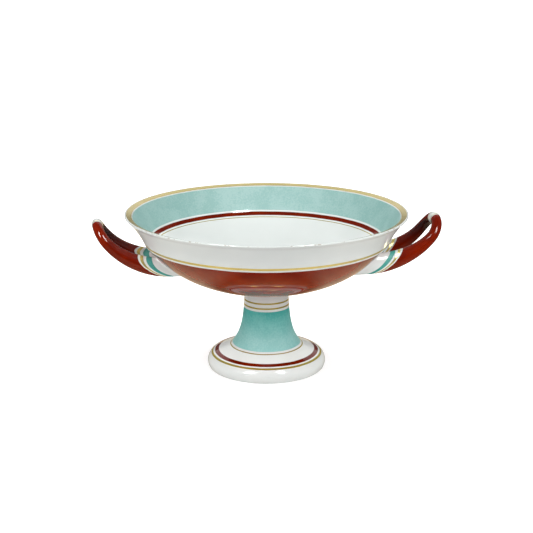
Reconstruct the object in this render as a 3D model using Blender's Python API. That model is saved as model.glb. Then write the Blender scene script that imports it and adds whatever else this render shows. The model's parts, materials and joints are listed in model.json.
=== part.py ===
"""A kylix-shaped porcelain cup: a wide, shallow bowl on a flaring stem and foot, with two upswept loop handles.

The cup is thrown, its handles are luted on and the whole is glazed and fired, so it is one solid.
Lengths are in metres. +Z is up, the handles lie along X, and the foot stands on the plane z = 0.
"""

import math

import bmesh
import bpy
from mathutils import Matrix, Vector

# Bowl: radii, and drops measured down from the rim
RIM_RADIUS = 0.1250
CUP_HEIGHT = 0.1434
LIP_EDGE_RADIUS = 0.0016
LIP_WIDTH = 0.0065
LIP_SLOPE = math.radians(17)
LIP_UNDERSIDE_DROP = 0.0042
LIP_UNDERSIDE_INSET = 0.0034
RIDGE_RADIUS = 0.1081
RIDGE_DROP = 0.02625
RIDGE_THICKNESS = 0.0059
WALL_FLARE = 0.0010
BELLY_DEPTH = 0.0497
BELLY_CONE = 0.20
FLOOR_THICKNESS = 0.0065
FLOOR_ROUNDNESS = 0.712

# Stem and foot, measured from the table
STEM_RADIUS = 0.0196
STEM_FLARE = 0.0129
STEM_FLARE_HEIGHT = 0.0145
SHOULDER_HEIGHT = 0.0198
FOOT_RADIUS = 0.0536
FOOT_SLOPE = math.radians(21)
FOOT_EDGE_RADIUS = 0.0090
FOOT_EDGE_HEIGHT = 0.0050
REST_WIDTH = 0.0045

# Hollow under the foot and up into the stem
STEM_WALL = 0.0062
FOOT_THICKNESS = 0.0055
RECESS_ROUNDING = 0.0045
CAVITY_ROOF = 0.0065
CAVITY_ROUNDING = 0.0050

# Handles: each a round rod bent to a U and swept upwards beyond the rim
HANDLE_OVERHANG = 0.0307
HANDLE_TOP_DROP = 0.0042
HANDLE_SPACING = 0.0310
HANDLE_START_INSET = 0.0183
HANDLE_ROOT_DROP = 0.0180
HANDLE_CURVE_RISE = 0.0409
TIP_THICKNESS = 0.0098
TIP_WIDTH = 0.0100
ROOT_THICKNESS = 0.0200
ROOT_WIDTH = 0.0125
ROOT_RUN = 0.0260
ROOT_FLARE_LENGTH = 0.0820
ROOT_SINK = 0.0028

# Smoothness of the solid
TURN_STEPS = 64
FLOOR_STEPS = 7
LIP_STEPS = 6
WALL_STEPS = 4
UNDERSIDE_STEPS = 10
STEM_STEPS = 10
FOOT_EDGE_STEPS = 7
ROUNDING_STEPS = 4
CAVITY_STEPS = 5
SWEEP_STEPS = 60
ROD_SIDES = 14
BRANCH_STATIONS = 11
BEND_STATIONS = 9
CORE_STEPS = 10
SHARP_ANGLE = math.radians(40)
WELD = 0.00001

GLAZE_COLOUR = (0.80, 0.83, 0.81, 1.0)
GLAZE_ROUGHNESS = 0.12

# Sizes that follow from those above
RIDGE_HEIGHT = CUP_HEIGHT - RIDGE_DROP
BELLY_HEIGHT = RIDGE_HEIGHT - BELLY_DEPTH
CORNER_RADIUS = RIDGE_RADIUS - RIDGE_THICKNESS
HANDLE_REACH = RIM_RADIUS + HANDLE_OVERHANG


def underside_height(radius):
    """Height of the bowl's underside: a low cone that sweeps up to the ridge."""
    sweep = BELLY_DEPTH - BELLY_CONE * RIDGE_RADIUS
    return BELLY_HEIGHT + BELLY_CONE * radius + sweep * (radius / RIDGE_RADIUS) ** 4


def stem_radius(height):
    """Outer radius of the stem, which flares out to the foot's shoulder."""
    return STEM_RADIUS + STEM_FLARE * math.exp(-(height - SHOULDER_HEIGHT) / STEM_FLARE_HEIGHT)


STEM_TOP_HEIGHT = underside_height(STEM_RADIUS)
FLOOR_HEIGHT = STEM_TOP_HEIGHT + FLOOR_THICKNESS


def floor_height(radius):
    """Height of the bowl's inside, a dish that ends at the foot of the inner wall."""
    share = (radius / CORNER_RADIUS) ** 2
    rise = RIDGE_HEIGHT - FLOOR_HEIGHT
    return FLOOR_HEIGHT + rise * (FLOOR_ROUNDNESS * share + (1 - FLOOR_ROUNDNESS) * share**2)


def spread(start, end, steps):
    """Evenly spaced values from start to end, both included."""
    return [start + (end - start) * step / steps for step in range(steps + 1)]


def arc(centre, radius, start, end, steps):
    """Points (radius, height) of an arc, with its angles in radians from the outward direction."""
    return [
        (centre[0] + radius * math.cos(angle), centre[1] + radius * math.sin(angle))
        for angle in spread(start, end, steps)
    ]


def bowl_inside():
    """From the middle of the floor out to the foot of the inner wall."""
    return [(radius, floor_height(radius)) for radius in spread(0, CORNER_RADIUS, FLOOR_STEPS)]


def lip():
    """From the top of the inner wall over the lip's sloping top and round its edge."""
    crest = (RIM_RADIUS - LIP_EDGE_RADIUS, CUP_HEIGHT - LIP_EDGE_RADIUS)
    edge = arc(crest, LIP_EDGE_RADIUS, math.pi / 2 + LIP_SLOPE, 0, LIP_STEPS)
    inner_radius = RIM_RADIUS - LIP_WIDTH
    inner_height = edge[0][1] - (edge[0][0] - inner_radius) * math.tan(LIP_SLOPE)
    return [(inner_radius, inner_height), *edge]


def wall_outside():
    """From under the lip down to the ridge, hollowed a little so that the lip flares."""
    top_radius = RIM_RADIUS - LIP_UNDERSIDE_INSET
    top_height = CUP_HEIGHT - LIP_UNDERSIDE_DROP
    points = []
    for share in spread(0, 1, WALL_STEPS):
        straight = top_radius + (RIDGE_RADIUS - top_radius) * share
        height = top_height + (RIDGE_HEIGHT - top_height) * share
        points.append((straight - WALL_FLARE * math.sin(math.pi * share), height))
    return points


def bowl_underside():
    """From the ridge in towards the stem."""
    radii = spread(RIDGE_RADIUS, STEM_RADIUS, UNDERSIDE_STEPS)[1:-1]
    return [(radius, underside_height(radius)) for radius in radii]


def stem():
    """From under the bowl down to the foot's shoulder."""
    return [(stem_radius(height), height) for height in spread(STEM_TOP_HEIGHT, SHOULDER_HEIGHT, STEM_STEPS)]


def foot_edge():
    """The foot's rounded edge, from its sloping top down to the table."""
    centre = (FOOT_RADIUS - FOOT_EDGE_RADIUS, FOOT_EDGE_HEIGHT)
    last = -math.asin(FOOT_EDGE_HEIGHT / FOOT_EDGE_RADIUS)
    return arc(centre, FOOT_EDGE_RADIUS, math.pi / 2 - FOOT_SLOPE, last, FOOT_EDGE_STEPS)


def hollow(rest_radius, foot_top):
    """From the inside of the ring that the foot stands on, up into the stem and in to the middle of the roof."""
    ring = rest_radius - REST_WIDTH
    recess_height = foot_top - FOOT_THICKNESS
    rounding = (ring - RECESS_ROUNDING, recess_height - RECESS_ROUNDING)
    points = [(ring, 0), *arc(rounding, RECESS_ROUNDING, 0, math.pi / 2, ROUNDING_STEPS)]
    roof = FLOOR_HEIGHT - CAVITY_ROOF
    for height in spread(SHOULDER_HEIGHT, roof - CAVITY_ROUNDING, CAVITY_STEPS):
        points.append((stem_radius(height) - STEM_WALL, height))
    corner = (points[-1][0] - CAVITY_ROUNDING, roof - CAVITY_ROUNDING)
    top = arc(corner, CAVITY_ROUNDING, 0, math.pi / 2, ROUNDING_STEPS)
    return [*points, *top[1:], (0, roof)]


def finished(name, mesh):
    """Turns a bmesh into an object with its faces pointing outwards."""
    bmesh.ops.recalc_face_normals(mesh, faces=mesh.faces)
    data = bpy.data.meshes.new(name)
    mesh.to_mesh(data)
    mesh.free()
    data.shade_smooth()
    data.set_sharp_from_angle(angle=SHARP_ANGLE)
    made = bpy.data.objects.new(name, data)
    bpy.context.scene.collection.objects.link(made)
    return made


def turned(name, profile):
    """A closed solid turned round the Z axis from (radius, height) points, given from axis to axis."""
    mesh = bmesh.new()
    points = [mesh.verts.new((radius, 0, height)) for radius, height in profile]
    edges = [mesh.edges.new(pair) for pair in zip(points, points[1:])]
    bmesh.ops.spin(
        mesh, geom=points + edges, cent=(0, 0, 0), axis=(0, 0, 1), angle=math.tau, steps=TURN_STEPS
    )
    bmesh.ops.remove_doubles(mesh, verts=mesh.verts, dist=WELD)
    return finished(name, mesh)


def helper(made):
    """Marks an object that only cuts or joins, so that it isn't part of the cup."""
    made.hide_render = True
    made.display_type = "WIRE"
    return made


def boolean(made, other, operation):
    modifier = made.modifiers.new(f"{operation.lower()} {other.name}", "BOOLEAN")
    modifier.operation = operation
    modifier.solver = "EXACT"
    modifier.object = other


def side_curve():
    """Stations (x, z, slope, run) of the handle seen from the side: level at the bowl, then swept upwards.

    The sweep is part of an ellipse, and run is the length along it, counted from the end of the level stretch.
    """
    start = Vector((RIDGE_RADIUS - HANDLE_START_INSET, RIDGE_HEIGHT - HANDLE_ROOT_DROP))
    across = HANDLE_REACH - TIP_THICKNESS / 2 - start.x
    top = CUP_HEIGHT - HANDLE_TOP_DROP - TIP_WIDTH / 2
    last = math.acos(1 - (top - start.y) / HANDLE_CURVE_RISE)
    stations = [(start.x - ROOT_RUN, start.y, 0.0, -ROOT_RUN)]
    run = 0.0
    before = start
    for angle in spread(0, last, SWEEP_STEPS):
        here = start + Vector((across * math.sin(angle), HANDLE_CURVE_RISE * (1 - math.cos(angle))))
        run += (here - before).length
        slope = math.atan2(HANDLE_CURVE_RISE * math.sin(angle), across * math.cos(angle))
        stations.append((here.x, here.y, slope, run))
        before = here
    return stations


def on_side_curve(stations, run):
    """Position (x, z) and slope at a length along the side curve."""
    for first, second in zip(stations, stations[1:]):
        if run <= second[3]:
            break
    share = (run - first[3]) / (second[3] - first[3])
    return [a + (b - a) * share for a, b in zip(first, second)][:3]


def loop_path(length):
    """(run, across) pairs along one U: out along the near branch, round the bend and back."""
    bend = HANDLE_SPACING / 2
    out = [(run, -bend) for run in spread(-ROOT_RUN, length - bend, BRANCH_STATIONS)[:-1]]
    turn = [
        (length - bend + bend * math.cos(angle), bend * math.sin(angle))
        for angle in spread(-math.pi / 2, math.pi / 2, BEND_STATIONS)
    ]
    back = [(run, -across) for run, across in reversed(out)]
    return out + turn + back


def rod_section(run, length):
    """Half thickness and half width of the rod, which swells towards its root."""
    share = min(1.0, max(0.0, (length - run) / ROOT_FLARE_LENGTH))
    swell = share * share * (3 - 2 * share)
    thickness = TIP_THICKNESS + (ROOT_THICKNESS - TIP_THICKNESS) * swell
    width = TIP_WIDTH + (ROOT_WIDTH - TIP_WIDTH) * swell
    return thickness / 2, width / 2


def handle_rod(name, side):
    """One handle's rod, from inside the bowl's wall round the loop and back. side is 1 at +X and -1 at -X."""
    stations = side_curve()
    length = stations[-1][3]
    path = loop_path(length)
    centres = []
    normals = []
    for run, across in path:
        x, z, slope = on_side_curve(stations, run)
        centres.append(Vector((x, across, z)))
        normals.append(Vector((-math.sin(slope), 0, math.cos(slope))))
    mesh = bmesh.new()
    rings = []
    for index, centre in enumerate(centres):
        ahead = centres[min(index + 1, len(centres) - 1)]
        behind = centres[max(index - 1, 0)]
        along = (ahead - behind).normalized()
        sideways = along.cross(normals[index]).normalized()
        up = sideways.cross(along)
        half_thickness, half_width = rod_section(path[index][0], length)
        turn = Matrix((up * half_thickness, sideways * half_width, along)).transposed()
        ring = bmesh.ops.create_circle(
            mesh,
            cap_ends=index in (0, len(centres) - 1),
            radius=1,
            segments=ROD_SIDES,
            matrix=Matrix.Translation(centre) @ turn.to_4x4(),
        )["verts"]
        rings.append(ring)
    for first, second in zip(rings, rings[1:]):
        for index in range(ROD_SIDES):
            following = (index + 1) % ROD_SIDES
            mesh.faces.new((first[index], first[following], second[following], second[index]))
    if side < 0:
        bmesh.ops.rotate(mesh, verts=mesh.verts, matrix=Matrix.Rotation(math.pi, 3, "Z"))
    return helper(finished(name, mesh))


def bowl_core():
    """The space inside the bowl, down to a little way into its wall, where the handles' rods end."""
    radii = spread(0, RIDGE_RADIUS, CORE_STEPS)
    bottom = [(radius, underside_height(radius) + ROOT_SINK) for radius in radii]
    above = CUP_HEIGHT + RIDGE_DROP
    return helper(turned("bowl_core", [*bottom, (RIDGE_RADIUS, above), (0, above)]))


def glaze():
    material = bpy.data.materials.new("white_glaze")
    material.use_nodes = True
    shader = material.node_tree.nodes["Principled BSDF"]
    shader.inputs["Base Color"].default_value = GLAZE_COLOUR
    shader.inputs["Roughness"].default_value = GLAZE_ROUGHNESS
    shader.inputs["Metallic"].default_value = 0.0
    material.diffuse_color = GLAZE_COLOUR
    return material


def main():
    for old in list(bpy.data.objects):
        bpy.data.objects.remove(old)
    edge = foot_edge()
    bowl = [*bowl_inside(), *lip(), *wall_outside(), *bowl_underside()]
    profile = [*bowl, *stem(), *edge, *hollow(edge[-1][0], edge[0][1])]
    cup = turned("kylix_cup", profile)
    cup.data.materials.append(glaze())
    core = bowl_core()
    for name, side in (("handle_rod_right", 1), ("handle_rod_left", -1)):
        rod = handle_rod(name, side)
        boolean(rod, core, "DIFFERENCE")
        boolean(cup, rod, "UNION")


main()
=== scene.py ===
# %% [markdown]
# A painted porcelain kylix
#
# The cup was thrown on a wheel, given two handles, glazed, fired, and painted with bands of turquoise,
# brown-red and gold. The CAD part gives its sizes. This lesson builds the finished cup around that part:
# first the turned body, then the handles, then the paint, and last the table, the lights and the camera.
#
# The CAD part is loaded first and stays where it is, so every new piece can be made at its true place, in
# metres, with the foot on z = 0 and the handles along X.

# %% Load the imported cup
import json
import math

import bmesh
import bpy
import numpy as np
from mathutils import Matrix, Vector

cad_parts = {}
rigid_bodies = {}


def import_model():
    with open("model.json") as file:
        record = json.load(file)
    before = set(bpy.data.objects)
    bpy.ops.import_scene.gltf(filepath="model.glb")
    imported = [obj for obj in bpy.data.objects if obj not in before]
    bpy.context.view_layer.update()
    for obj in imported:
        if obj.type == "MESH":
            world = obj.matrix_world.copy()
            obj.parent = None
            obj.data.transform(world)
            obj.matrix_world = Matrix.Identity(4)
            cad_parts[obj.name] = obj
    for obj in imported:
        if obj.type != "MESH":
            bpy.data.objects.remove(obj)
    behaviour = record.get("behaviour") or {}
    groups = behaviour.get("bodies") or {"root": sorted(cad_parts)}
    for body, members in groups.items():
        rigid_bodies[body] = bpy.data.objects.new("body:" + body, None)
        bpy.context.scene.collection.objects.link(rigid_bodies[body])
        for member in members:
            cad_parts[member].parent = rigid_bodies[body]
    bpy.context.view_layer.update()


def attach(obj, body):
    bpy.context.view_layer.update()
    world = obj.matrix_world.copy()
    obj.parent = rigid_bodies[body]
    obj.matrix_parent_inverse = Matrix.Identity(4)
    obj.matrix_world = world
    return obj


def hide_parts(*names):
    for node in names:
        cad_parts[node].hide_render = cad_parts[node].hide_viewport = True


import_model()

# %% [markdown]
# A bowl, a stem and a foot that were thrown on a wheel are all one surface of revolution. One line, the
# profile, runs from the middle of the bowl's floor, up the inner wall, over the lip, down the outside, round
# the foot and up into the hollow stem. It could be drawn as a Bezier curve, but the CAD part has the line as
# plain sizes and formulas, and the same ones are used here, so that the finished surface lies where the
# solid does. Only the edge of the lip is drawn finer than in the CAD part, since a thin edge is what catches
# the light. Here are the sizes, in metres.

# %% Sizes of the bowl, stem and foot
RIM_RADIUS = 0.1250
CUP_HEIGHT = 0.1434
LIP_EDGE_RADIUS = 0.0009
LIP_WIDTH = 0.0065
LIP_SLOPE = math.radians(17)
LIP_UNDERSIDE_DROP = 0.0042
LIP_UNDERSIDE_INSET = 0.0034
RIDGE_RADIUS = 0.1081
RIDGE_HEIGHT = CUP_HEIGHT - 0.02625
CORNER_RADIUS = RIDGE_RADIUS - 0.0059
WALL_FLARE = 0.0010
BELLY_HEIGHT = RIDGE_HEIGHT - 0.0497
BELLY_CONE = 0.20
BELLY_END_RADIUS = 0.0240
FLOOR_THICKNESS = 0.0065
PARABOLA_SHARE = 0.712
STEM_RADIUS = 0.0196
STEM_FLARE = 0.0129
STEM_FLARE_LENGTH = 0.0145
STEM_TOP_WIDENING = 0.0004
STEM_TOP_GAP = 0.0030
SHOULDER_HEIGHT = 0.0198
SHOULDER_GAP = 0.0010
SHOULDER_OVERHANG = 0.0002
FOOT_RADIUS = 0.0536
FOOT_EDGE_RADIUS = 0.0090
FOOT_EDGE_HEIGHT = 0.0050
FOOT_SLOPE = math.radians(21)
REST_WIDTH = 0.0045
STEM_WALL = 0.0062
RECESS_DEPTH = 0.0055
RECESS_ROUNDING = 0.0045
ROOF_ROUNDING = 0.0050
ROUNDINGS = {
    "floor_corner": 0.0022,
    "lip_inner": 0.0012,
    "lip_underside": 0.0012,
    "ridge": 0.0004,
    "stem_top": 0.0018,
    "shoulder": 0.0011,
    "rest_outer": 0.0004,
    "rest_inner": 0.0007,
    "hollow_shoulder": 0.0012,
}


def underside_height(radius):
    """Height of the bowl's underside: a low cone that sweeps up to the ridge."""
    sweep = RIDGE_HEIGHT - BELLY_HEIGHT - BELLY_CONE * RIDGE_RADIUS
    return BELLY_HEIGHT + BELLY_CONE * radius + sweep * (radius / RIDGE_RADIUS) ** 4


def stem_radius(height):
    """Outer radius of the stem, which flares out towards the foot."""
    return STEM_RADIUS + STEM_FLARE * math.exp(-(height - SHOULDER_HEIGHT) / STEM_FLARE_LENGTH)


STEM_TOP = underside_height(STEM_RADIUS)
FLOOR_HEIGHT = STEM_TOP + FLOOR_THICKNESS


def floor_height(radius):
    """Height of the bowl's floor: mostly a parabola, a little steeper towards the wall."""
    share = (radius / CORNER_RADIUS) ** 2
    rise = PARABOLA_SHARE * share + (1 - PARABOLA_SHARE) * share**2
    return FLOOR_HEIGHT + (RIDGE_HEIGHT - FLOOR_HEIGHT) * rise


print("floor of the bowl at", round(FLOOR_HEIGHT, 4), "and top of the stem at", round(STEM_TOP, 4))

# %% [markdown]
# The profile is a list of points, each with a radius, a height and how far its corner is rounded off. A
# potter's sponge and the glaze leave no sharp corner, and even a rounding of half a millimetre catches a line
# of light. Points along a smooth curve have no rounding of their own.

# %% Points along lines and arcs


def spread(start, end, steps):
    """Evenly spaced values from start to end, both included."""
    return [start + (end - start) * step / steps for step in range(steps + 1)]


def arc(centre, radius, start, end, steps):
    """Points on part of a circle, between two angles."""
    return [
        (centre[0] + radius * math.cos(angle), centre[1] + radius * math.sin(angle), 0)
        for angle in spread(start, end, steps)
    ]


def straight(start, end, steps):
    """Points between two corners, without the corners themselves."""
    across = spread(start[0], end[0], steps)
    upward = spread(start[1], end[1], steps)
    return [(radius, height, 0) for radius, height in zip(across, upward)][1:-1]


print("the arc of the lip's edge is", round(1000 * LIP_EDGE_RADIUS, 1), "mm in radius")

# %% The profile of the bowl


def bowl_profile():
    """From the middle of the bowl's floor, over the lip and the ridge, to the lower end of the belly."""
    points = [(radius, floor_height(radius), 0) for radius in spread(0, CORNER_RADIUS, steps=32)[:-1]]
    points.append((CORNER_RADIUS, RIDGE_HEIGHT, ROUNDINGS["floor_corner"]))
    crest = (RIM_RADIUS - LIP_EDGE_RADIUS, CUP_HEIGHT - LIP_EDGE_RADIUS)
    edge = arc(crest, LIP_EDGE_RADIUS, math.pi / 2 + LIP_SLOPE, -math.pi / 4, steps=12)
    inner = RIM_RADIUS - LIP_WIDTH
    inner_height = edge[0][1] - (edge[0][0] - inner) * math.tan(LIP_SLOPE)
    points += straight((CORNER_RADIUS, RIDGE_HEIGHT), (inner, inner_height), steps=10)
    points += [(inner, inner_height, ROUNDINGS["lip_inner"]), *edge]
    top = (RIM_RADIUS - LIP_UNDERSIDE_INSET, CUP_HEIGHT - LIP_UNDERSIDE_DROP)
    points.append((*top, ROUNDINGS["lip_underside"]))
    for share in spread(0, 1, steps=14)[1:-1]:
        out = top[0] + (RIDGE_RADIUS - top[0]) * share - WALL_FLARE * math.sin(math.pi * share)
        points.append((out, top[1] + (RIDGE_HEIGHT - top[1]) * share, 0))
    points.append((RIDGE_RADIUS, RIDGE_HEIGHT, ROUNDINGS["ridge"]))
    belly = spread(RIDGE_RADIUS, BELLY_END_RADIUS, steps=40)[1:]
    return points + [(radius, underside_height(radius), 0) for radius in belly]


print("the bowl's part of the profile has", len(bowl_profile()), "points")

# %% The profile of the stem and foot, to the roof of the hollow stem


def hollow_profile(ring, recess):
    """The inside of foot and stem, from the ring that the cup stands on to the roof of the hollow."""
    centre = (ring - RECESS_ROUNDING, recess - RECESS_ROUNDING)
    points = arc(centre, RECESS_ROUNDING, 0, math.pi / 2, steps=8)
    roof = FLOOR_HEIGHT - FLOOR_THICKNESS
    for height in spread(SHOULDER_HEIGHT, roof - ROOF_ROUNDING, steps=20):
        rounding = ROUNDINGS["hollow_shoulder"] if height == SHOULDER_HEIGHT else 0
        points.append((stem_radius(height) - STEM_WALL, height, rounding))
    centre = (points[-1][0] - ROOF_ROUNDING, roof - ROOF_ROUNDING)
    return points + arc(centre, ROOF_ROUNDING, 0, math.pi / 2, steps=6)[1:] + [(0, roof, 0)]


def foot_profile():
    """From the top of the stem down to the foot's edge, and back up inside."""
    points = [(STEM_RADIUS + STEM_TOP_WIDENING, STEM_TOP, ROUNDINGS["stem_top"])]
    heights = spread(STEM_TOP - STEM_TOP_GAP, SHOULDER_HEIGHT + SHOULDER_GAP, steps=34)
    points += [(stem_radius(height), height, 0) for height in heights]
    shoulder = stem_radius(SHOULDER_HEIGHT) + SHOULDER_OVERHANG
    points.append((shoulder, SHOULDER_HEIGHT, ROUNDINGS["shoulder"]))
    centre = (FOOT_RADIUS - FOOT_EDGE_RADIUS, FOOT_EDGE_HEIGHT)
    last = -math.asin(FOOT_EDGE_HEIGHT / FOOT_EDGE_RADIUS)
    edge = arc(centre, FOOT_EDGE_RADIUS, math.pi / 2 - FOOT_SLOPE, last, steps=22)
    points += straight(points[-1], edge[0], steps=6) + edge[:-1]
    rest = edge[-1][0]
    ring = rest - REST_WIDTH
    points += [(rest, 0, ROUNDINGS["rest_outer"]), (ring, 0, ROUNDINGS["rest_inner"])]
    return points + hollow_profile(ring, edge[0][1] - RECESS_DEPTH)


profile = bowl_profile() + foot_profile()
print("the profile has", len(profile), "points, of which", sum(1 for p in profile if p[2]), "are rounded")

# %% [markdown]
# The profile is drawn as by hand: one vertex is set down, and each next one is extruded from it. The corners
# are then bevelled as vertices, which turns a corner of a line into a small arc. Spin turns the finished line
# round the Z axis, and merging its doubles closes the seam and the two poles.

# %% Draw the line and round its corners
SAME_PLACE = 1e-6


def select_none():
    """Leaves edit mode and deselects every object."""
    if bpy.context.mode != "OBJECT":
        bpy.ops.object.mode_set(mode="OBJECT")
    bpy.ops.object.select_all(action="DESELECT")


def pick_vertices(mesh, keep):
    """Selects the vertices for which keep is true, in edit mode."""
    bpy.ops.mesh.select_all(action="DESELECT")
    edit = bmesh.from_edit_mesh(mesh)
    for vertex in edit.verts:
        vertex.select = keep(vertex.co)
    edit.select_flush_mode()
    bmesh.update_edit_mesh(mesh)


def drawn_line(name, points):
    """A line of vertices extruded one from the next, with the corners that have a rounding bevelled."""
    select_none()
    end = Vector((points[0][0], 0, points[0][1]))
    bpy.ops.mesh.primitive_plane_add(size=0.001, location=end)
    line = bpy.context.object
    line.name = name
    bpy.ops.object.transform_apply(location=True, rotation=False, scale=False)
    bpy.ops.object.mode_set(mode="EDIT")
    bpy.ops.mesh.merge(type="CENTER")
    for radius, height, _ in points[1:]:
        here = Vector((radius, 0, height))
        bpy.ops.mesh.extrude_vertices_move(TRANSFORM_OT_translate={"value": here - end})
        end = here
    for radius, height, rounding in points:
        if rounding:
            corner = Vector((radius, 0, height))
            pick_vertices(line.data, lambda co: (co - corner).length < SAME_PLACE)
            bpy.ops.mesh.bevel(offset=rounding, segments=5, affect="VERTICES")
    bpy.ops.object.mode_set(mode="OBJECT")
    return line


body = drawn_line("bowl_stem_and_foot", profile)
print("the line has", len(body.data.vertices), "vertices once its corners are rounded")

# %% Read the line and spin it
TURN_STEPS = 240


def in_order(line):
    """The line's points as (radius, height), walked from the end at the bowl's floor."""
    linked = {vertex.index: [] for vertex in line.data.vertices}
    for edge in line.data.edges:
        linked[edge.vertices[0]].append(edge.vertices[1])
        linked[edge.vertices[1]].append(edge.vertices[0])
    ends = [index for index, others in linked.items() if len(others) == 1]
    here = max(ends, key=lambda index: line.data.vertices[index].co.z)
    walked = [here]
    while True:
        ahead = [index for index in linked[walked[-1]] if index not in walked[-2:]]
        if not ahead:
            break
        walked.append(ahead[0])
    return np.array([(line.data.vertices[i].co.x, line.data.vertices[i].co.z) for i in walked])


line = in_order(body)
bpy.ops.object.mode_set(mode="EDIT")
bpy.ops.mesh.select_all(action="SELECT")
bpy.ops.mesh.spin(steps=TURN_STEPS, angle=math.tau, center=(0, 0, 0), axis=(0, 0, 1))
bpy.ops.mesh.select_all(action="SELECT")
bpy.ops.mesh.remove_doubles(threshold=0.00001)
bpy.ops.mesh.normals_make_consistent(inside=False)
bpy.ops.object.mode_set(mode="OBJECT")
bpy.ops.object.shade_smooth_by_angle(angle=math.radians(35))
print("turned body:", len(line), "rings,", len(body.data.polygons), "faces")

# %% [markdown]
# A band painter sets the cup on a wheel, holds the brush still and lets the cup turn, so each line of paint
# is at one place along the profile. The body therefore gets an attribute that holds the length along the
# profile, from the middle of the floor outwards. Inside and outside of the wall are far apart on it, though
# they are only millimetres apart in space, so no band can show through to the other side.

# %% Store the length along the profile on each vertex
TINY = 1e-18
step_lengths = np.hypot(*np.diff(line, axis=0).T)
along_line = np.concatenate([[0], np.cumsum(step_lengths)])


def brush_at(radius, height):
    """Length along the profile at the point of it that is nearest to a radius and height in millimetres."""
    target = np.array([radius, height]) / 1000
    start, end = line[:-1], line[1:]
    share = ((target - start) * (end - start)).sum(1) / (step_lengths**2 + TINY)
    share = np.clip(share, 0, 1)
    near = start + (end - start) * share[:, None]
    best = np.hypot(*(near - target).T).argmin()
    return float(along_line[best] + step_lengths[best] * share[best])


def write_brush(piece, values, name="brush"):
    """Stores one number for each vertex, under the name that the materials read."""
    attribute = piece.data.attributes.new(name, "FLOAT", "POINT")
    attribute.data.foreach_set("value", np.asarray(values, np.float32))


places = np.empty(len(body.data.vertices) * 3)
body.data.vertices.foreach_get("co", places)
places = places.reshape(-1, 3)
around = np.stack([np.hypot(places[:, 0], places[:, 1]), places[:, 2]], axis=1)
nearest = np.array([np.hypot(*(line - point).T).argmin() for point in around])
write_brush(body, along_line[nearest])
print("the profile is", round(along_line[-1], 4), "m long")

# %% [markdown]
# Each handle is one rod of clay, thicker at its two roots, bent to a U and then swept upwards. It starts here
# as a straight cylinder that is cut into short lengths. Its vertices are then moved in code: first the rod is
# bent into a U on a flat sheet, and then the sheet is bent up along a quarter of an ellipse, which gives the
# handle's side view. A Bezier curve with a bevel could make such a rod, but it couldn't be both oval and
# thicker at its roots. The two handles were bent by hand, so each has sizes of its own, and each is turned a
# few degrees about its root. Lengths are in metres and turns in degrees.
#
# Widths are measured across the rod from side to side, and the tip and thick root from top to bottom.

# %% Sizes and side view of a handle
HANDLE_START = 0.0898
LEVEL_LENGTH = 0.0500
SIDE_VIEW_STATIONS = 400
TIP_WIDTH = 0.0100
ROOT_WIDTH = 0.0125
ROOT_FLARE_LENGTH = 0.0820
SIZE_NAMES = "side reach top root rise bulge spacing tip thick_root turn lean shift".split()
HANDLES = {
    "right_handle": (1, 0.1567, 0.1381, 0.0975, 0.0418, 1.882, 0.0327, 0.0090, 0.0190, 5.7, 0.1, 0.0013),
    "left_handle": (-1, 0.1555, 0.1395, 0.0979, 0.0484, 1.889, 0.0312, 0.0089, 0.0178, 3.2, 0.4, -0.0003),
}
HANDLES = {name: dict(zip(SIZE_NAMES, sizes)) for name, sizes in HANDLES.items()}


def side_view(size):
    """Stations (run, x, z) of the middle line: level under the bowl, then part of a squarish ellipse."""
    across = size["reach"] - size["tip"] / 2 - HANDLE_START
    power = 2 / size["bulge"]
    climb = (size["top"] - TIP_WIDTH / 2 - size["root"]) / size["rise"]
    angle = np.linspace(0, math.acos((1 - climb) ** (1 / power)), SIDE_VIEW_STATIONS)
    x = HANDLE_START + across * np.sin(angle) ** power
    z = size["root"] + size["rise"] * (1 - np.cos(angle) ** power)
    run = np.concatenate([[0], np.cumsum(np.hypot(np.diff(x), np.diff(z)))])
    under_bowl_end = (-LEVEL_LENGTH, x[0] - LEVEL_LENGTH, z[0])
    return [np.concatenate([[first], rest]) for first, rest in zip(under_bowl_end, (run, x, z))]


def middle_line(size, view, along):
    """Points of the rod's middle line at signed lengths from the middle of its crossbar."""
    bend = size["spacing"] / 2
    turned = np.clip(np.abs(along) / bend, 0, math.pi / 2)
    straight_part = np.clip(np.abs(along) - bend * math.pi / 2, 0, None)
    run = view[0][-1] - bend + bend * np.cos(turned) - straight_part
    y = np.sign(along) * bend * np.sin(turned)
    return np.stack([np.interp(run, view[0], view[1]), y, np.interp(run, view[0], view[2])], axis=-1), run


for name, size in HANDLES.items():
    print(name, "is a rod", round(2 * float(side_view(size)[0][-1]), 4), "m long")

# %% Points on the surface of a handle
PIVOT = np.array([0.110, 0, 0.110])
SMALL_STEP = 0.0002


def put_in_place(size, vectors):
    """Turns vectors from the layout at +X to the handle's own side, with its small turn and lean by hand."""
    turn, lean = math.radians(size["turn"]), math.radians(size["lean"])
    about_z = np.array([[math.cos(turn), -math.sin(turn), 0], [math.sin(turn), math.cos(turn), 0], [0, 0, 1]])
    about_x = np.array([[1, 0, 0], [0, math.cos(lean), -math.sin(lean)], [0, math.sin(lean), math.cos(lean)]])
    return (vectors * [size["side"], size["side"], 1]) @ (about_z @ about_x).T


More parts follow.
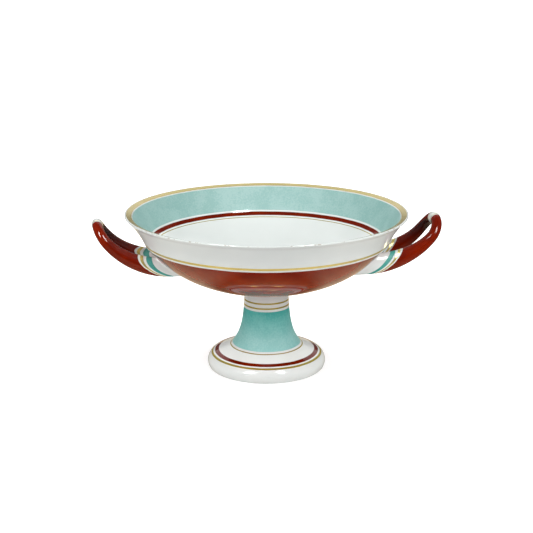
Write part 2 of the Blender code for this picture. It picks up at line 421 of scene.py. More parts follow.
def rod_point(size, view, along, angle):
    """Points on the rod's surface, at signed lengths along it and angles round it."""
    centre, run = middle_line(size, view, along)
    after, before = along + SMALL_STEP, along - SMALL_STEP
    ahead = middle_line(size, view, after)[0] - middle_line(size, view, before)[0]
    ahead /= np.linalg.norm(ahead, axis=-1, keepdims=True)
    after, before = run + SMALL_STEP, run - SMALL_STEP
    level = np.interp(after, view[0], view[1]) - np.interp(before, view[0], view[1])
    rise = np.interp(after, view[0], view[2]) - np.interp(before, view[0], view[2])
    normal = np.stack([-rise, np.zeros_like(rise), level], axis=-1)
    normal /= np.linalg.norm(normal, axis=-1, keepdims=True)
    sideways = np.cross(ahead, normal)
    share = np.clip((view[0][-1] - run) / ROOT_FLARE_LENGTH, 0, 1)
    swell = (share * share * (3 - 2 * share))[..., None]
    up = normal * (size["tip"] + (size["thick_root"] - size["tip"]) * swell) / 2
    out = sideways * (TIP_WIDTH + (ROOT_WIDTH - TIP_WIDTH) * swell) / 2
    turn = angle[..., None]
    offset = put_in_place(size, up * np.cos(turn) + out * np.sin(turn))
    pivot = PIVOT * [size["side"], 1, 1] + [size["shift"], 0, 0]
    return put_in_place(size, centre - PIVOT) + pivot + offset, offset


print("each handle is turned and leant about", PIVOT.tolist())

# %% [markdown]
# Where a handle meets the bowl, wet clay is smoothed into the corner, so the rod widens in a small arc just
# before it touches. Each line along the rod is followed to the place where it meets the bowl's underside, and
# the last few rings are set on that arc. The last ring of all is inside the wall, where it closes the rod.

# %% The rings of a handle near its root
FILLET = 0.0022
ROD_SIDES = 48
FILLET_RINGS = 7
EASE_RINGS = 26
MIDDLE_RINGS = 96
CLOSING_DEPTH = 0.0020
PLAIN_GAP = 0.0040
SEARCH_START = 0.045
SEARCH_PAST_CREST = 0.040
HALVINGS = 40


def under_bowl(point):
    """Distance of a point below the bowl's underside, and the underside's outward direction there."""
    radius = np.hypot(point[..., 0], point[..., 1])
    sweep = RIDGE_HEIGHT - BELLY_HEIGHT - BELLY_CONE * RIDGE_RADIUS
    slope = BELLY_CONE + 4 * sweep * radius**3 / RIDGE_RADIUS**4
    sideways = point[..., :2] / radius[..., None] * slope[..., None]
    outward = np.concatenate([sideways, -np.ones_like(radius)[..., None]], axis=-1)
    steep = np.sqrt(1 + slope**2)
    return (underside_height(radius) - point[..., 2]) / steep, outward / steep[..., None]


def length_at(size, view, branch, angle, distance):
    """Signed length along a branch, 1 or -1, where each line of the rod is at a distance below the bowl."""
    low = np.full_like(angle, SEARCH_START)
    high = np.full_like(angle, view[0][-1] + SEARCH_PAST_CREST)
    for _ in range(HALVINGS):
        middle = (low + high) / 2
        outside = under_bowl(rod_point(size, view, branch * middle, angle)[0])[0] > distance
        low = np.where(outside, middle, low)
        high = np.where(outside, high, middle)
    return branch * low


def root_rings(size, view, branch, angle):
    """Rings of one branch, from inside the wall to the start of its plain part, and the length there."""
    rings = []
    for step in range(FILLET_RINGS + 1):
        turn = math.pi / 2 * step / FILLET_RINGS
        above = FILLET * (1 - math.cos(turn))
        along = length_at(size, view, branch, angle, above)
        point, offset = rod_point(size, view, along, angle)
        outward = under_bowl(point)[1]
        flat = offset - (offset * outward).sum(-1, keepdims=True) * outward
        flat /= np.linalg.norm(flat, axis=-1, keepdims=True)
        widened = point + flat * FILLET * (1 - math.sin(turn))
        widened += outward * (above - under_bowl(widened)[0])[..., None]
        rings.append(widened)
    closing = rings[0] - under_bowl(rings[0])[1] * CLOSING_DEPTH
    plain = branch * (float(np.abs(along).min()) - PLAIN_GAP)
    for step in range(1, EASE_RINGS + 1):
        share = step / EASE_RINGS
        rings.append(rod_point(size, view, along + (plain - along) * share, angle)[0])
    return [closing, *rings], plain


print("each root has", FILLET_RINGS + EASE_RINGS + 2, "rings, the first of them inside the wall")

# %% Bend a cylinder to a handle
FAR_FROM_CREST = 1.0


def handle_rings(size):
    """All rings of a handle from root to root, and how far along the rod each is from the crest."""
    view = side_view(size)
    angle = np.arange(ROD_SIDES) * math.tau / ROD_SIDES
    first, first_plain = root_rings(size, view, 1, angle)
    last, last_plain = root_rings(size, view, -1, angle)
    lengths = spread(first_plain, last_plain, MIDDLE_RINGS)[1:-1]
    middle = [rod_point(size, view, np.full(ROD_SIDES, along), angle)[0] for along in lengths]
    far = [FAR_FROM_CREST] * len(first)
    return np.array(first + middle + last[::-1]), np.concatenate([far, np.abs(lengths), far])


def cut_cylinder(name, ring_count):
    """A straight cylinder along Z, cut across into as many rings as the handle has."""
    select_none()
    bpy.ops.mesh.primitive_cylinder_add(
        vertices=ROD_SIDES, radius=TIP_WIDTH / 2, depth=1, end_fill_type="NGON"
    )
    rod = bpy.context.object
    rod.name = name
    bpy.ops.object.mode_set(mode="EDIT")
    bpy.ops.mesh.select_all(action="DESELECT")
    edit = bmesh.from_edit_mesh(rod.data)
    for edge in edit.edges:
        edge.select = abs(edge.verts[0].co.z - edge.verts[1].co.z) > 0.5
    bmesh.update_edit_mesh(rod.data)
    bpy.ops.mesh.subdivide(number_cuts=ring_count - 2)
    bpy.ops.object.mode_set(mode="OBJECT")
    return rod


def bend_handle(name, size):
    """A cut cylinder whose vertices are moved onto the rings, with the values that its paint reads."""
    rings, crest = handle_rings(size)
    rod = cut_cylinder(name, len(rings))
    from_crest, inner_side, upper_side = [], [], []
    for vertex in rod.data.vertices:
        ring = round((vertex.co.z + 0.5) * (len(rings) - 1))
        turn = round(math.atan2(vertex.co.y, vertex.co.x) / math.tau * ROD_SIDES) % ROD_SIDES
        vertex.co = rings[ring][turn]
        from_crest.append(crest[ring])
        inner_side.append(-math.sin(turn * math.tau / ROD_SIDES))
        upper_side.append(math.cos(turn * math.tau / ROD_SIDES))
    write_brush(rod, from_crest, "from_crest")
    write_brush(rod, inner_side, "inner_side")
    write_brush(rod, upper_side, "upper_side")
    bpy.ops.object.mode_set(mode="EDIT")
    bpy.ops.mesh.select_all(action="SELECT")
    bpy.ops.mesh.normals_make_consistent(inside=False)
    bpy.ops.object.mode_set(mode="OBJECT")
    bpy.ops.object.shade_smooth_by_angle(angle=math.radians(50))
    print(name, "has", len(rings), "rings and", len(rod.data.polygons), "faces")
    return rod


handles = [bend_handle(name, size) for name, size in HANDLES.items()]

# %% [markdown]
# The bands at the root of a handle are painted freehand, leaning back from the bowl, and they grow wider
# towards the underside. A picture of them would have to be unwrapped round each rod. It is simpler to work
# out their place once for each vertex, as a length from the edge of the red towards the bowl, and to store it
# in the same attribute that the body has.

# %% Store the place of the bands on the handles
LEAN_OUT = 0.766
LEAN_DOWN = 0.641
LOW_LEAN = 0.0040
BAND_EDGE = {"right_handle": 0.0214, "left_handle": 0.0165}
OUTER_BULGE = {"right_handle": 0.0010, "left_handle": 0.0030}
INNER_BULGE = {"right_handle": 0.0010, "left_handle": 0.0062}
SPREADING = 800
SPREAD_LENGTH = 0.012
SPREAD_TOP = 0.110
SPREAD_HEIGHT = 0.020


def values_of(piece, name):
    """The numbers that a piece holds for its vertices under a name."""
    return np.array([item.value for item in piece.data.attributes[name].data])


for handle in handles:
    places = np.array([vertex.co for vertex in handle.data.vertices])
    upper = values_of(handle, "upper_side")
    inside = values_of(handle, "inner_side") > 0
    leaning = LEAN_OUT * np.abs(places[:, 0]) - LEAN_DOWN * places[:, 2]
    bulge = np.where(inside, INNER_BULGE[handle.name], OUTER_BULGE[handle.name])
    rounded = bulge * (1 - upper**2) - LOW_LEAN * np.clip(-upper, 0, 1) ** 2
    inward = BAND_EDGE[handle.name] - leaning + rounded
    below = np.clip(SPREAD_TOP - places[:, 2], 0, SPREAD_HEIGHT)
    spreading = SPREADING * np.clip(inward, 0, SPREAD_LENGTH) ** 2 * below
    write_brush(handle, inward - spreading)
    print(handle.name, "bands from", round(float(inward.min()), 3), "to", round(float(inward.max()), 3))

# %% [markdown]
# A shader is a net of small nodes. They can be wired by hand in the editor, but these paints need dozens of
# them, so a few helpers add a node, set its values or link its inputs, and hand on the socket that the next
# node needs.

# %% Helpers that add shader nodes


def add(tree, kind, values=None, **settings):
    """A node with its settings, and with values for its inputs: a number, a colour or a socket to link."""
    node = tree.nodes.new(kind)
    for key, value in settings.items():
        setattr(node, key, value)
    for key, value in (values or {}).items():
        if isinstance(value, bpy.types.NodeSocket):
            tree.links.new(value, node.inputs[key])
        else:
            node.inputs[key].default_value = value
    return node


def combined(tree, operation, first, second=0, **settings):
    """Two numbers made into one by a Math node."""
    return add(tree, "ShaderNodeMath", {0: first, 1: second}, operation=operation, **settings).outputs[0]


def ramp(tree, value, start, end, low=0, high=1, **settings):
    """A number that goes from low to high while the value goes from start to end."""
    given = {"Value": value, "From Min": start, "From Max": end, "To Min": low, "To Max": high}
    return add(tree, "ShaderNodeMapRange", given, **settings).outputs["Result"]


def mixed(tree, share, first, second):
    """A colour that goes from the first to the second while the share goes from 0 to 1."""
    given = {"Factor": share, "A": first, "B": second}
    return add(tree, "ShaderNodeMix", given, data_type="RGBA").outputs["Result"]


def noise(tree, place, scale, detail):
    """Soft random values around a half. The scale is about how many spots there are in a metre."""
    given = {"Vector": place, "Scale": scale, "Detail": detail}
    return add(tree, "ShaderNodeTexNoise", given).outputs["Fac"]


def attribute(tree, name):
    """The number that the piece holds for its vertices under a name."""
    return add(tree, "ShaderNodeAttribute", attribute_name=name).outputs["Fac"]


print("the materials are built with add, combined, ramp, mixed, noise and attribute")

# %% [markdown]
# Paint on porcelain is never one flat colour. A band has soft, slightly wavy edges where the brush left the
# wheel, the colour lies thicker in some places than in others, and fine specks show in it. Three shader
# groups hold these effects, so that body and handles share them: a band with soft edges, the waver of a
# hand-held brush, and the clouding of a colour.

# %% A group for a band with soft edges
NUMBER = "NodeSocketFloat"
COLOUR = "NodeSocketColor"
PLACE = "NodeSocketVector"


def new_group(name, inputs, outputs):
    """A shader group, the sockets inside it that bring its inputs, and those that take its outputs."""
    group = bpy.data.node_groups.new(name, "ShaderNodeTree")
    for label, kind, value in inputs:
        socket = group.interface.new_socket(label, in_out="INPUT", socket_type=kind)
        socket.default_value = value
    for label, kind in outputs:
        group.interface.new_socket(label, in_out="OUTPUT", socket_type=kind)
    return group, group.nodes.new("NodeGroupInput").outputs, group.nodes.new("NodeGroupOutput").inputs


def band_group():
    """1 between two lengths, 0 outside them, with a soft edge on both sides."""
    inputs = [("Brush", NUMBER, 0), ("From", NUMBER, 0), ("To", NUMBER, 0), ("Edge", NUMBER, 0.0001)]
    tree, given, result = new_group("painted_band", inputs, [("Mask", NUMBER)])
    sides = []
    for label, low, high in (("From", 0, 1), ("To", 1, 0)):
        before = combined(tree, "SUBTRACT", given[label], given["Edge"])
        after = combined(tree, "ADD", given[label], given["Edge"])
        side = ramp(tree, given["Brush"], before, after, low, high, interpolation_type="SMOOTHSTEP")
        sides.append(side)
    tree.links.new(combined(tree, "MULTIPLY", *sides), result["Mask"])
    return tree


BAND = band_group()
print("group", BAND.name, "has", len(BAND.nodes), "nodes")

# %% A group for the waver of a hand-held brush


def waver_group():
    """The brush length with a slow random shift."""
    inputs = [("Brush", NUMBER, 0), ("Place", PLACE, (0, 0, 0)), ("Amount", NUMBER, 0.0003)]
    tree, given, result = new_group("hand_waver", inputs, [("Brush", NUMBER)])
    wide = noise(tree, given["Place"], scale=70, detail=3)
    shift = combined(tree, "MULTIPLY", combined(tree, "SUBTRACT", wide, 0.5), given["Amount"])
    tree.links.new(combined(tree, "ADD", given["Brush"], shift), result["Brush"])
    return tree


WAVER = waver_group()
print("group", WAVER.name, "has", len(WAVER.nodes), "nodes")

# %% A group for the clouding of a colour
PATCH_RANGE = (0.35, 0.65)
WHITE_INPUT = (1, 1, 1, 1)


def cloud_group():
    """A colour between thin and thick, by wide patches and fine specks."""
    inputs = [
        ("Place", PLACE, (0, 0, 0)),
        ("Thin", COLOUR, WHITE_INPUT),
        ("Thick", COLOUR, WHITE_INPUT),
        ("Patches", NUMBER, 40),
        ("Specks", NUMBER, 900),
        ("Speck strength", NUMBER, 0.3),
    ]
    tree, given, result = new_group("colour_clouding", inputs, [("Color", COLOUR)])
    patches = ramp(tree, noise(tree, given["Place"], given["Patches"], detail=4), *PATCH_RANGE)
    specks = combined(tree, "SUBTRACT", noise(tree, given["Place"], given["Specks"], detail=2), 0.5)
    specks = combined(tree, "MULTIPLY", specks, given["Speck strength"])
    thickness = combined(tree, "ADD", patches, specks, use_clamp=True)
    tree.links.new(mixed(tree, thickness, given["Thin"], given["Thick"]), result["Color"])
    return tree


CLOUD = cloud_group()
print("group", CLOUD.name, "has", len(CLOUD.nodes), "nodes")

# %% [markdown]
# The masks come from landmarks: places on the profile, given as radius and height in millimetres, where the
# brush started and stopped. Each pair becomes a stretch of the brush length, and all the stretches of one
# paint are joined into one mask. Two stretches aren't paints of their own: each is where a paint changes from
# a darker top to its usual colour. On the belly the darker top is painted shade; on the stem it is partly a
# deeper turquoise and partly painted shade under the bowl.

# %% Where each paint lies on the body
LANDMARKS = {
    "wall_turquoise": [((104.5, 120.5), (117.7, 141.4))],
    "stem_turquoise": [((20.6, 55.6), (31.0, 21.7))],
    # The foot's top gets a brighter white: painted light.
    "foot_painted_light": [((32.1, 20.1), (48.0, 13.4))],
    "belly_red": [((108.1, 117.1), (20.9, 72.0))],
    "ring_red": [((101.1, 115.9), (103.6, 119.0)), ((43.5, 15.2), (47.1, 13.7))],
    "stem_top_line": [((19.9, 69.8), (19.9, 69.4))],
    "bowl_gold": [((99.4, 114.2), (99.9, 114.7)), ((110.1, 120.6), (109.3, 118.5))],
    "lip_gold": [((118.7, 142.0), (123.6, 143.4))],
    "lip_wear": [((124.6, 143.2), (125.0, 142.6))],
    "stem_gold": [((20.1, 63.6), (20.2, 62.2)), ((20.4, 59.1), (20.5, 57.7))],
    "foot_gold": [((32.1, 20.1), (33.0, 19.6)), ((48.6, 13.0), (50.3, 12.0))],
    "stem_top_deeper_and_shaded": [((20.6, 55.6), (26.0, 30.0))],
    "belly_top_painted_shade": [((108.1, 117.1), (97.0, 104.0))],
}
STRETCHES = {
    label: [(brush_at(*start), brush_at(*end)) for start, end in bands]
    for label, bands in LANDMARKS.items()
}
for label, parts in STRETCHES.items():
    print(label, "in mm:", [(round(1000 * start, 1), round(1000 * end, 1)) for start, end in parts])

# %% [markdown]
# One glaze covers the colours, so they share one glossy shader. What sets them apart is on its sockets. The
# turquoise is an enamel with a rougher skin, which shows no sharp highlights. The red is darker at the top of
# the belly, just under the bowl's ridge, which is painted shade. The turquoise is darker at the top of the
# stem, partly a deeper paint and partly painted shade under the bowl. Gold is a metal and was put on over the
# glaze, so its mask also drives Metallic and Roughness: it is plain on the bowl and rubbed on the lip, and on
# the stem and foot it is darker, painted shade under the bowl. The lip's edge has brown specks where the
# glaze is worn. On the handles the red turns near black on the inner sides near the crest, painted shade
# between the branches. The white on the foot is brighter, painted light. The glaze itself isn't perfectly
# even, and a very low bump lets the reflections swim a little.
#
# A look is made of two colours, thin and thick, the scales of its patches and of its specks, and the strength
# of the specks.

# %% Looks of the glaze, the paints and the gold
WHITE = ((0.845, 0.88, 0.86), (0.815, 0.855, 0.835), 24, 500, 0.10)
# On the foot this brighter white is painted light, for a foot that the lamps light too dimly.
BRIGHT_WHITE = ((0.93, 0.985, 0.96), (0.90, 0.96, 0.93), 24, 500, 0.10)
PALE_TURQUOISE = ((0.355, 0.57, 0.54), (0.28, 0.505, 0.475), 60, 650, 3.0)
STEM_TURQUOISE = ((0.305, 0.625, 0.595), (0.24, 0.565, 0.535), 60, 650, 3.0)
# A deeper turquoise for the top of the stem: partly the paint's own tone, partly painted shade under the
# bowl.
STEM_TOP_TURQUOISE_AND_SHADE = ((0.10, 0.52, 0.47), (0.055, 0.44, 0.40), 60, 650, 3.0)
DEEP_TURQUOISE = ((0.09, 0.45, 0.39), (0.045, 0.36, 0.31), 60, 650, 1.6)
RED = ((0.34, 0.024, 0.0006), (0.25, 0.013, 0.0002), 50, 900, 0.6)
# A darker red for the top of the belly, just under the ridge: painted shade.
RED_TOP_PAINTED_SHADE = ((0.25, 0.007, 0.0001), (0.19, 0.004, 0.0001), 50, 900, 0.6)
RING_RED = ((0.20, 0.012, 0.0003), (0.14, 0.007, 0.0001), 50, 900, 0.6)
HANDLE_RED = ((0.25, 0.013, 0.0003), (0.18, 0.007, 0.0001), 50, 900, 0.6)
# Near-black red for the inner sides of the handles near the crest: painted shade between the branches.
INNER_PAINTED_SHADE_RED = ((0.03, 0.001, 0.0002), (0.02, 0.0005, 0.0001), 50, 900, 0.6)
GOLD = ((0.80, 0.68, 0.25), (0.70, 0.58, 0.18), 60, 900, 0.5)
WORN_GOLD = ((0.60, 0.50, 0.21), (0.54, 0.45, 0.17), 60, 900, 0.5)
# A darker gold for the lines on the stem and foot: painted shade under the bowl.
SHADED_GOLD = ((0.60, 0.49, 0.085), (0.51, 0.41, 0.055), 60, 900, 0.5)
# A thin grey line round the top of the stem, just below the bowl.
STEM_TOP_LINE = ((0.62, 0.60, 0.54), (0.56, 0.54, 0.48), 90, 900, 0.6)
WEAR = ((0.42, 0.33, 0.25), (0.34, 0.26, 0.19), 90, 900, 0.6)
GLAZE_IOR = 1.36
GLAZE_ROUGHNESS = 0.06
ENAMEL_ROUGHNESS = 0.55
GOLD_ROUGHNESS = 0.24
GOLD_METALLIC = 0.55
PAINT_EDGE = 0.00016
print("roughness of glaze, enamel and gold:", GLAZE_ROUGHNESS, ENAMEL_ROUGHNESS, GOLD_ROUGHNESS)

# %% Masks, colours and the wavering brush


def joined_mask(tree, brush, parts):
    """1 where the brush length lies in one of the parts, with soft edges."""
    mask = None
    for start, end in parts:
        given = {"Brush": brush, "From": start, "To": end, "Edge": PAINT_EDGE}
        band = add(tree, "ShaderNodeGroup", given, node_tree=BAND).outputs["Mask"]
        mask = band if mask is None else combined(tree, "MAXIMUM", mask, band)
    return mask


def clouded(tree, place, look):
    """The colour of a look, thin in some places and thick in others, with specks."""
    thin, thick, patches, specks, strength = look
    given = {"Place": place, "Thin": (*thin, 1), "Thick": (*thick, 1)}
    given.update({"Patches": patches, "Specks": specks, "Speck strength": strength})
    return add(tree, "ShaderNodeGroup", given, node_tree=CLOUD).outputs["Color"]


def wavering_brush(tree, place, amount):
    """The brush length, moved a little to and fro as by an unsteady hand."""
    given = {"Brush": attribute(tree, "brush"), "Place": place, "Amount": amount}
    return add(tree, "ShaderNodeGroup", given, node_tree=WAVER).outputs["Brush"]


print("each mask has an edge", round(2000 * PAINT_EDGE, 2), "mm wide")

# %% Coats of paint over the glaze, and gold over both
SWIM_SCALE = 45
SWIM_STRENGTH = 0.25
SWIM_DEPTH = 0.0004


def new_glaze(name):
    """A glossy material, its tree, and the place on the piece that its patterns are made from."""
    made = bpy.data.materials.new(name)
    made.use_nodes = True
    tree = made.node_tree
    tree.nodes["Principled BSDF"].inputs["IOR"].default_value = GLAZE_IOR
    return made, tree, add(tree, "ShaderNodeTexCoord").outputs["Object"]


def paint_over(tree, place, brush, white, paints):
    """Colour and roughness of a white glaze with paints over it: look, parts, pool or None, roughness."""
    colour = clouded(tree, place, white)
    sheen = GLAZE_ROUGHNESS
    for look, parts, darker_top, roughness in paints:
        paint = clouded(tree, place, look)
        # A darker top is painted shade on the belly, and partly painted shade on the stem.
        if darker_top:
            deep, start, end = darker_top
            paint = mixed(tree, ramp(tree, brush, start, end), clouded(tree, place, deep), paint)
        mask = joined_mask(tree, brush, parts)
        colour = mixed(tree, mask, colour, paint)
        sheen = ramp(tree, mask, 0, 1, sheen, roughness)
    return colour, sheen


def gild(tree, place, colour, sheen, gold, leaf):
    """Lays gold over the paint and links the colour, the metal, the roughness and the swimming surface."""
    shader = tree.nodes["Principled BSDF"].inputs
    tree.links.new(mixed(tree, gold, colour, leaf), shader["Base Color"])
    tree.links.new(combined(tree, "MULTIPLY", gold, GOLD_METALLIC), shader["Metallic"])
    tree.links.new(ramp(tree, gold, 0, 1, sheen, GOLD_ROUGHNESS), shader["Roughness"])
    swim = noise(tree, place, SWIM_SCALE, detail=2)
    given = {"Height": swim, "Strength": SWIM_STRENGTH, "Distance": SWIM_DEPTH}
    tree.links.new(add(tree, "ShaderNodeBump", given).outputs["Normal"], shader["Normal"])


print("the glaze's bump is", round(1000 * SWIM_DEPTH * SWIM_STRENGTH, 2), "mm deep at most")

# %% Paint the body
BODY_WAVER = 0.0005
WEAR_SCALE = 260
WEAR_RANGE = (0.54, 0.66, 0, 0.75)
# The turquoise darkens towards the top of the stem: partly deeper paint, partly painted shade.
STEM_TOP_DEEPER_AND_SHADED = (STEM_TOP_TURQUOISE_AND_SHADE, *STRETCHES["stem_top_deeper_and_shaded"][0])
# The red darkens towards the ridge: painted shade at the top of the belly.
BELLY_TOP_PAINTED_SHADE = (RED_TOP_PAINTED_SHADE, *STRETCHES["belly_top_painted_shade"][0])
BODY_PAINTS = [
    (PALE_TURQUOISE, STRETCHES["wall_turquoise"], None, ENAMEL_ROUGHNESS),
    (STEM_TURQUOISE, STRETCHES["stem_turquoise"], STEM_TOP_DEEPER_AND_SHADED, ENAMEL_ROUGHNESS),
    (BRIGHT_WHITE, STRETCHES["foot_painted_light"], None, GLAZE_ROUGHNESS),
    (RED, STRETCHES["belly_red"], BELLY_TOP_PAINTED_SHADE, GLAZE_ROUGHNESS),
    (RING_RED, STRETCHES["ring_red"], None, GLAZE_ROUGHNESS),
    (STEM_TOP_LINE, STRETCHES["stem_top_line"], None, GLAZE_ROUGHNESS),
]
LOWER_GOLD = STRETCHES["stem_gold"] + STRETCHES["foot_gold"]

body_glaze, tree, place = new_glaze("painted_body_glaze")
brush = wavering_brush(tree, place, BODY_WAVER)
colour, sheen = paint_over(tree, place, brush, WHITE, BODY_PAINTS)
specks = ramp(tree, noise(tree, place, WEAR_SCALE, detail=2), *WEAR_RANGE)
worn = combined(tree, "MULTIPLY", joined_mask(tree, brush, STRETCHES["lip_wear"]), specks)
colour = mixed(tree, worn, colour, clouded(tree, place, WEAR))
leaf = clouded(tree, place, GOLD)
# The stem and foot get the darker gold: painted shade under the bowl.
for look, parts in ((WORN_GOLD, STRETCHES["lip_gold"]), (SHADED_GOLD, LOWER_GOLD)):
    leaf = mixed(tree, joined_mask(tree, brush, parts), leaf, clouded(tree, place, look))
gold = joined_mask(tree, brush, STRETCHES["bowl_gold"] + STRETCHES["lip_gold"] + LOWER_GOLD)
gild(tree, place, colour, sheen, gold, leaf)
body.data.materials.append(body_glaze)
print(body_glaze.name, "has", len(tree.nodes), "nodes")

# %% Paint the handles
HANDLE_WAVER = 0.0006
HANDLE_PAINTS = [
    (DEEP_TURQUOISE, [(0.0041, 0.0072)], None, ENAMEL_ROUGHNESS),
    (HANDLE_RED, [(-1.0, 0.0)], None, GLAZE_ROUGHNESS),
]
ROOT_GOLD = [(0.0011, 0.0026)]
CREST_WHITE = [(-1.0, 0.0043)]
CREST_GOLD = [(0.0027, 0.0034)]
# Where the near-black red lies, by side of the rod and by length from the crest: painted shade.
INNER_SHADE_ROUND = (-0.1, 0.55)
INNER_SHADE_ALONG = (0.075, 0.020)

handle_glaze, tree, place = new_glaze("painted_handle_glaze")
brush = wavering_brush(tree, place, HANDLE_WAVER)
colour, sheen = paint_over(tree, place, brush, BRIGHT_WHITE, HANDLE_PAINTS)
from_crest = attribute(tree, "from_crest")
inner_side = ramp(tree, attribute(tree, "inner_side"), *INNER_SHADE_ROUND)
# Painted shade: the red turns near black on the inner sides near the crest.
thick = combined(tree, "MULTIPLY", inner_side, ramp(tree, from_crest, *INNER_SHADE_ALONG))
colour = mixed(tree, thick, colour, clouded(tree, place, INNER_PAINTED_SHADE_RED))
colour = mixed(tree, joined_mask(tree, from_crest, CREST_WHITE), colour, clouded(tree, place, WHITE))
crest_line = joined_mask(tree, from_crest, CREST_GOLD)
gold = combined(tree, "MAXIMUM", joined_mask(tree, brush, ROOT_GOLD), crest_line)
gild(tree, place, colour, sheen, gold, clouded(tree, place, GOLD))
for handle in handles:
    handle.data.materials.append(handle_glaze)
print(handle_glaze.name, "has", len(tree.nodes), "nodes")

# %% [markdown]
# The three pieces stand for the one fired solid of the CAD part, and nothing on the cup moves, so all of them
# ride on its only body.

# %% Hand the pieces to the frame
for piece in [body, *handles]:
    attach(piece, "root")
    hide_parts("kylix_cup")
    print(piece.name, "rides on root")

# %% [markdown]
# The cup stands on a plain white table. A glossy glaze shows its surroundings as much as its own colour, so
# the table counts twice: as the ground of the picture, and as what the cup mirrors. A grey plane alone can't
# do both, and Light Path tells the rays apart. To the camera the table also glows, which keeps the ground
# white, apart from a small contact shadow round the foot. In mirrored rays its colour is a painted
# reflection:
# warmer, with a painted shadow under the bowl that lightens again right at the foot, dark far in front and
# weaker far to the sides.

# %% The table as the camera sees it
TABLE_GREY = (0.72, 0.72, 0.72, 1)
CONTACT_SHADOW = (0.05, 0.12, 0.42, 1.0)


def vector_node(tree, operation, first, second=(0, 0, 0)):
    """The outputs of a Vector Math node: Value for a length, Vector for the rest."""
    return add(tree, "ShaderNodeVectorMath", {0: first, 1: second}, operation=operation).outputs


select_none()
bpy.ops.mesh.primitive_plane_add(size=60, location=(0, 0, 0))
table = bpy.context.object
table.name = "table"
table_top = bpy.data.materials.new("white_table")
table_top.use_nodes = True
tree = table_top.node_tree
shader = tree.nodes["Principled BSDF"].inputs
shader["Roughness"].default_value = 0.7
shader["Specular IOR Level"].default_value = 0.1
shader["Emission Strength"].default_value = 1.0
ray = add(tree, "ShaderNodeLightPath").outputs
spot = add(tree, "ShaderNodeTexCoord").outputs["Object"]
glow = ramp(tree, vector_node(tree, "LENGTH", spot)["Value"], *CONTACT_SHADOW)
tree.links.new(combined(tree, "MULTIPLY", glow, ray["Is Camera Ray"]), shader["Emission Color"])
table.data.materials.append(table_top)
print("contact shadow from", CONTACT_SHADOW[0], "to", CONTACT_SHADOW[1], "m round the foot's middle")

# %% The table as the cup mirrors it
# Colours that only mirrored rays see: a painted reflection of the table, with a painted shadow under the
# bowl.
MIRRORED_TABLE = (0.95, 0.80, 0.54, 1)
MIRRORED_AT_FOOT = (0.72, 0.54, 0.30, 1)
MIRRORED_SHADE = (0.28, 0.21, 0.12, 1)
MIRRORED_FAR = (0, 0, 0, 1)
SIDE_FADE = (0.15, 0.25, 1, 0.2)
FRONT_FADE = (-0.36, -0.24, 0.12)
SHADE_SQUEEZE = (1.8, 1, 1)
SHADE_START = (0.045, 0.110)
SHADE_END = (0.112, 0.160)

axes = add(tree, "ShaderNodeSeparateXYZ", {0: spot}).outputs
sideways = combined(tree, "ABSOLUTE", axes["X"])
shown = combined(tree, "MULTIPLY", ramp(tree, axes["Y"], *FRONT_FADE), ramp(tree, sideways, *SIDE_FADE))
lit = mixed(tree, shown, MIRRORED_FAR, MIRRORED_TABLE)
squeezed = vector_node(tree, "MULTIPLY", spot, SHADE_SQUEEZE)["Vector"]
beside = vector_node(tree, "LENGTH", squeezed)["Value"]
shaded = mixed(tree, ramp(tree, beside, *SHADE_START), MIRRORED_AT_FOOT, MIRRORED_SHADE)
mirrored = mixed(tree, ramp(tree, beside, *SHADE_END), shaded, lit)
tree.links.new(mixed(tree, ray["Is Glossy Ray"], TABLE_GREY, mirrored), shader["Base Color"])
print(table_top.name, "has", len(tree.nodes), "nodes")

# %% [markdown]
# Wide panels light the cup: one over the camera, one on each side and one behind. Mirrored in the glaze, the
# three in front would be large white patches, so they are hidden from mirrored rays. Two tall lamps do the
# opposite: they don't light the paint and are only mirrored, as the small bright highlights on the wall and
# the handles. A weak white world fills the shadows.

# %% The lights
WORLD_BRIGHTNESS = 0.15
CAMERA_TURN = math.radians(-5)
AIM_HEIGHT = 0.1


def around_cup(turn, height_angle, distance):
    """A place given as its turn to the right of the camera and its angle above the table."""
    turn = math.radians(turn) + CAMERA_TURN
    rise = math.radians(height_angle)
    flat = distance * math.cos(rise)
    return (flat * math.sin(turn), -flat * math.cos(turn), AIM_HEIGHT + distance * math.sin(rise))


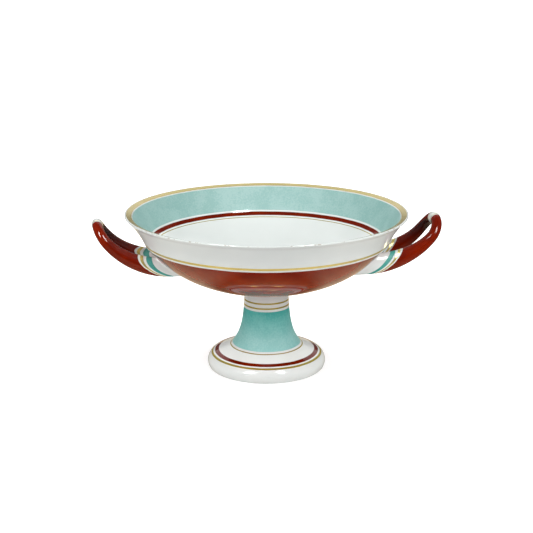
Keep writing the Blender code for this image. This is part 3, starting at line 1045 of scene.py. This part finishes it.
def add_light(name, turn, height_angle, distance, width, depth, brightness, mirrored=True, lighting=True):
    """A rectangular light that faces the cup. Its brightness is what a mirror would show of it."""
    light = bpy.data.lights.new(name, "AREA")
    light.shape = "RECTANGLE"
    light.size = width
    light.size_y = depth
    light.energy = brightness * math.pi * width * depth
    lamp = bpy.data.objects.new(name, light)
    lamp.location = around_cup(turn, height_angle, distance)
    lamp.rotation_euler = (Vector((0, 0, AIM_HEIGHT)) - lamp.location).to_track_quat("-Z", "Y").to_euler()
    lamp.visible_camera = False
    lamp.visible_glossy = mirrored
    lamp.visible_diffuse = lighting
    bpy.context.collection.objects.link(lamp)
    print(name, "gives", round(light.energy, 1), "W")


world = bpy.data.worlds.new("studio")
bpy.context.scene.world = world
world.use_nodes = True
world.node_tree.nodes["Background"].inputs["Color"].default_value = (1, 1, 1, 1)
world.node_tree.nodes["Background"].inputs["Strength"].default_value = WORLD_BRIGHTNESS
add_light("front_panel", 12, 32, 1.8, 1.9, 1.1, 1.75, mirrored=False)
add_light("left_panel", -70, 32, 1.6, 1.2, 1.2, 3.4, mirrored=False)
add_light("right_panel", 70, 32, 1.6, 1.2, 1.2, 2.85, mirrored=False)
add_light("left_lamp", -36, 35, 1.6, 0.4, 0.8, 38, lighting=False)
add_light("right_lamp", 35, 42, 1.6, 0.4, 0.9, 38, lighting=False)
add_light("back_panel", 180, 36, 1.8, 2.0, 1.4, 0.95)

# %% [markdown]
# The camera is about a metre away and looks a little down on the rim, turned five degrees round the cup. A
# long lens from far off keeps the rim's ellipse flat. Lens and place were fitted until the rim, the bands and
# the foot had the right ellipses. The Standard view keeps white white and the reds deep, where a filmic one
# would grey them.

# %% The camera
CAMERA_TILT = math.radians(74.36)
camera = bpy.data.objects.new("camera", bpy.data.cameras.new("camera"))
camera.data.lens = 77.67
camera.data.sensor_width = 36
camera.location = (-0.0866, -0.98997, 0.3703)
camera.rotation_euler = (CAMERA_TILT, 0, CAMERA_TURN)
bpy.context.collection.objects.link(camera)
bpy.context.scene.camera = camera
bpy.context.scene.view_settings.view_transform = "Standard"
print("the camera is", round(camera.location.length, 3), "m from the foot's middle")
